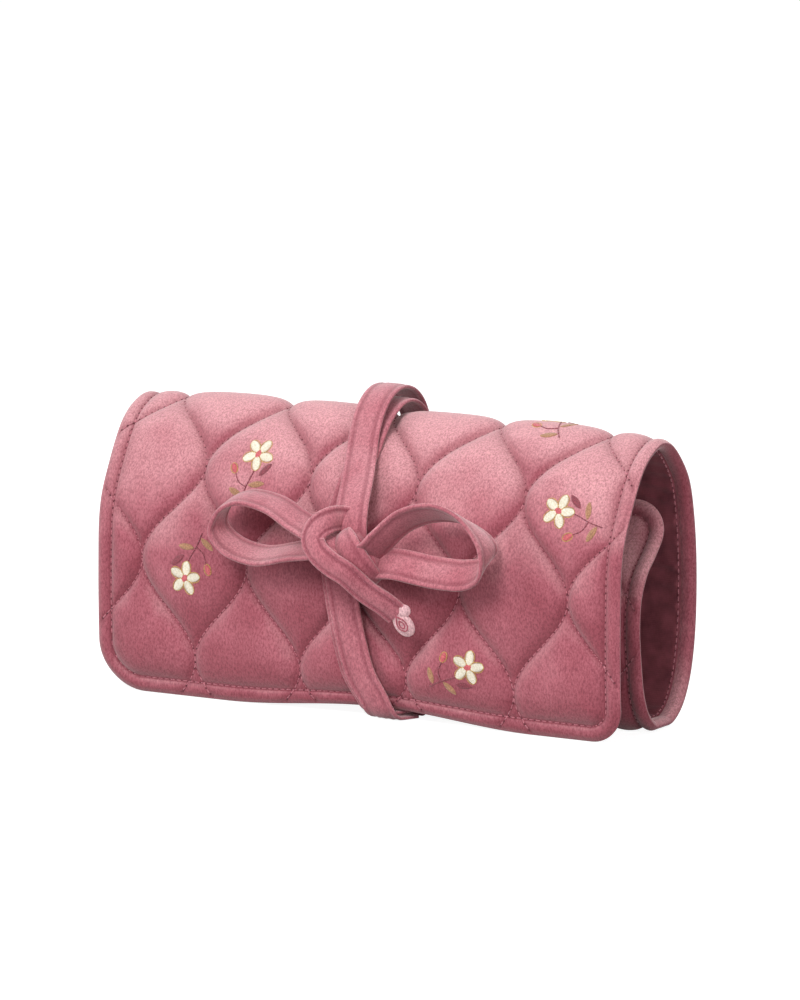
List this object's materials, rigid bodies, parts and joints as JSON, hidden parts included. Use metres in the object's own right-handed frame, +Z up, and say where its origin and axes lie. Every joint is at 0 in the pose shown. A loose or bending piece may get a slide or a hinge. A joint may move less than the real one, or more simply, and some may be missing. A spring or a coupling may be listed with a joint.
{
  "type": "jewelry roll",
  "caption": "Quilted velvet jewelry roll, rolled up and tied shut with a strap in a bow, with zip pockets and a ring bar inside.",
  "frame": {"origin": "middle of the roll's footprint, bow included, on the surface that it stands on", "axes": "+X along the roll towards its open right end, +Y away from the bow, +Z up"},
  "size_m": [0.21, 0.0816, 0.1115],
  "materials": {
    "velvet": "quilted velvet, dusty rose",
    "lining": "plain woven lining, dark rose",
    "strap": "topstitched velvet strap, rose",
    "zip_tape": "woven zip tape",
    "zip_coil": "satin plastic coil",
    "gilt": "polished pale gold"
  },
  "bodies": {
    "bottom": {"bottom_quilt": "velvet", "bottom_lining": "lining", "tie_under_outer": "strap", "tie_under_inner": "strap"},
    "back": {"back_quilt": "velvet", "back_lining": "lining", "tie_back_outer": "strap", "tie_back_inner": "strap", "ring_bar_anchor": "strap", "ring_bar_stud_post": "gilt"},
    "top": {"top_quilt": "velvet", "top_lining": "lining", "tie_top_outer": "strap", "tie_top_inner": "strap"},
    "flap": {"flap_quilt": "velvet", "flap_lining": "lining", "flap_zip_tape_lower": "zip_tape", "flap_zip_tape_upper": "zip_tape", "flap_pocket_panel": "lining", "flap_zip_coil": "zip_coil", "flap_zip_start_stop": "gilt", "flap_zip_end_stop": "gilt", "tie_anchor_patch": "lining", "tie_front_upper_outer": "strap", "tie_front_upper_inner": "strap", "tie_front_lower_outer": "strap", "tie_front_lower_inner": "strap", "tie_knot": "strap", "tie_knot_wrap": "strap", "bow_loop_left": "strap", "bow_loop_right": "strap", "tie_tail": "strap", "tie_tail_tip": "strap"},
    "inner_flap": {"inner_flap_quilt": "velvet", "inner_flap_lining": "lining", "inner_flap_zip_tape_lower": "zip_tape", "inner_flap_zip_tape_upper": "zip_tape", "inner_flap_pocket_panel": "lining", "inner_flap_zip_coil": "zip_coil", "inner_flap_zip_start_stop": "gilt", "inner_flap_zip_end_stop": "gilt"},
    "flap_zip_slider": {"flap_zip_slider": "gilt"},
    "flap_zip_pull": {"flap_zip_pull": "gilt"},
    "inner_flap_zip_slider": {"inner_flap_zip_slider": "gilt"},
    "inner_flap_zip_pull": {"inner_flap_zip_pull": "gilt"},
    "ring_bar": {"ring_bar": "strap", "ring_bar_tab": "strap", "ring_bar_stud_cap": "gilt"}
  },
  "joints": [
    {"name": "back_fold", "type": "hinge", "parent": "bottom", "child": "back", "pos_m": [0, 0.02668, 0.00496], "axis": [-1, 0, 0], "range_deg": [0, 74], "deforming": ["tie_under_outer", "tie_under_inner"]},
    {"name": "top_fold", "type": "hinge", "parent": "back", "child": "top", "pos_m": [0, 0.02851, 0.09124], "axis": [-1, 0, 0], "range_deg": [0, 90], "deforming": ["tie_top_outer", "tie_top_inner"]},
    {"name": "flap_fold", "type": "hinge", "parent": "top", "child": "flap", "pos_m": [0, -0.00524, 0.09268], "axis": [-1, 0, 0], "range_deg": [0, 100], "deforming": ["tie_top_outer", "tie_top_inner"]},
    {"name": "inner_flap_fold", "type": "hinge", "parent": "bottom", "child": "inner_flap", "pos_m": [0, 0.00199, 0.00375], "axis": [1, 0, 0], "range_deg": [0, 66], "deforming": ["tie_under_outer", "tie_under_inner"]},
    {"name": "flap_zip_slide", "type": "slide", "parent": "flap", "child": "flap_zip_slider", "axis": [1, 0, 0], "range_m": [-0.162, 0]},
    {"name": "flap_zip_pull_swing", "type": "hinge", "parent": "flap_zip_slider", "child": "flap_zip_pull", "pos_m": [0.081, -0.00945, 0.06405], "axis": [0, -0.2287, -0.9735], "range_deg": [0, 170]},
    {"name": "inner_flap_zip_slide", "type": "slide", "parent": "inner_flap", "child": "inner_flap_zip_slider", "axis": [1, 0, 0], "range_m": [-0.162, 0]},
    {"name": "inner_flap_zip_pull_swing", "type": "hinge", "parent": "inner_flap_zip_slider", "child": "inner_flap_zip_pull", "pos_m": [0.081, 0.00278, 0.04273], "axis": [0, -0.0933, -0.9956], "range_deg": [0, 170]},
    {"name": "ring_bar_lift", "type": "hinge", "parent": "back", "child": "ring_bar", "pos_m": [-0.087, 0.02998, 0.03166], "axis": [0, 0, -1], "range_deg": [0, 6]}
  ],
  "couplings": [
    {"joint": "back_fold", "follows": "top_fold", "ratio": 0.82},
    {"joint": "inner_flap_fold", "follows": "flap_fold", "ratio": 0.65}
  ]
}
